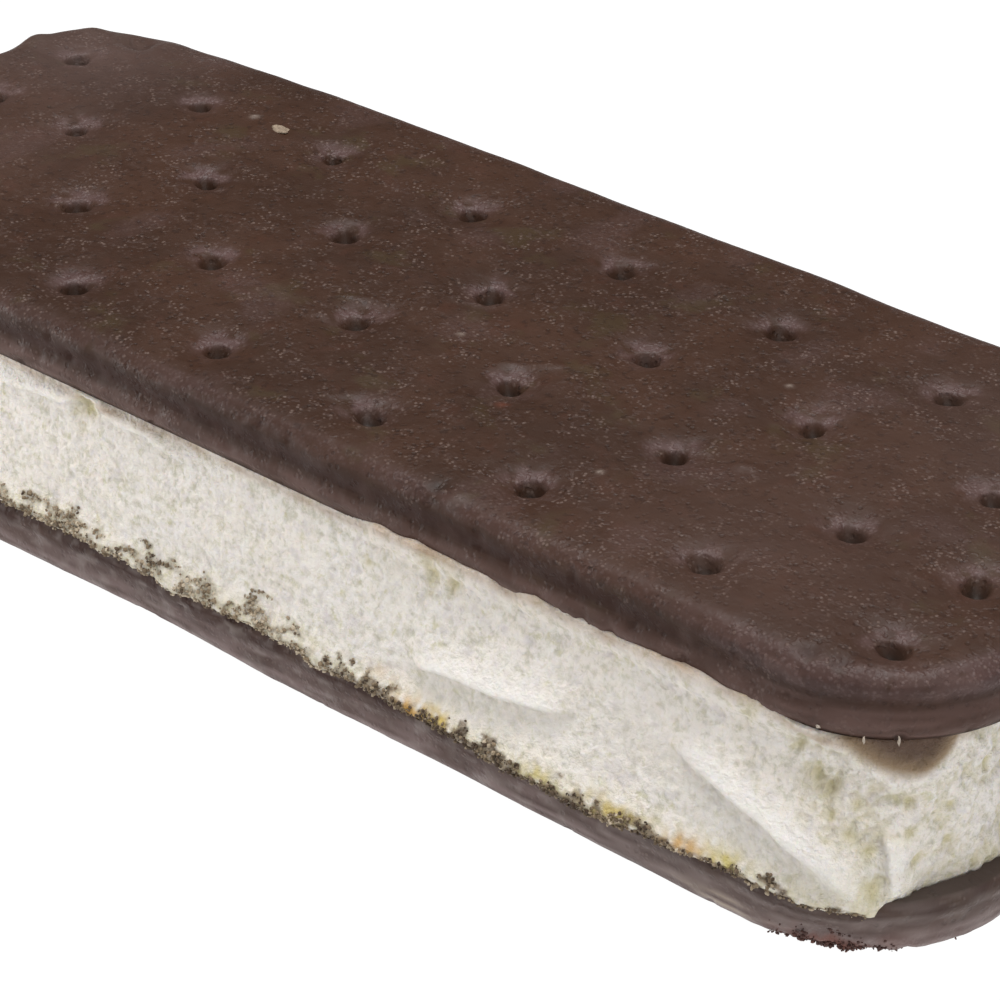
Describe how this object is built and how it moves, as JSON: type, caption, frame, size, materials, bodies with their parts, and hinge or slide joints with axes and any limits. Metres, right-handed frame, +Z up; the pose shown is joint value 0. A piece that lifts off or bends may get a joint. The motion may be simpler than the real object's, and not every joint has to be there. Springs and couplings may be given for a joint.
{
  "type": "ice cream sandwich",
  "caption": "Ice cream sandwich lying flat: a long slab of vanilla ice cream between soft chocolate wafers with round corners and rows of docker holes.",
  "frame": {"origin": "under the middle of the sandwich's box, on the plane it lies on", "axes": "+X along the sandwich, +Y across it, +Z up through the wafers"},
  "size_m": [0.1226, 0.0486, 0.0226],
  "materials": {
    "wafer": "matt, fine-grained soft chocolate wafer",
    "cream": "soft, pitted vanilla ice cream"
  },
  "bodies": {
    "root": {"wafer_bottom": "wafer", "ice_cream": "cream", "wafer_top": "wafer"}
  },
  "joints": []
}
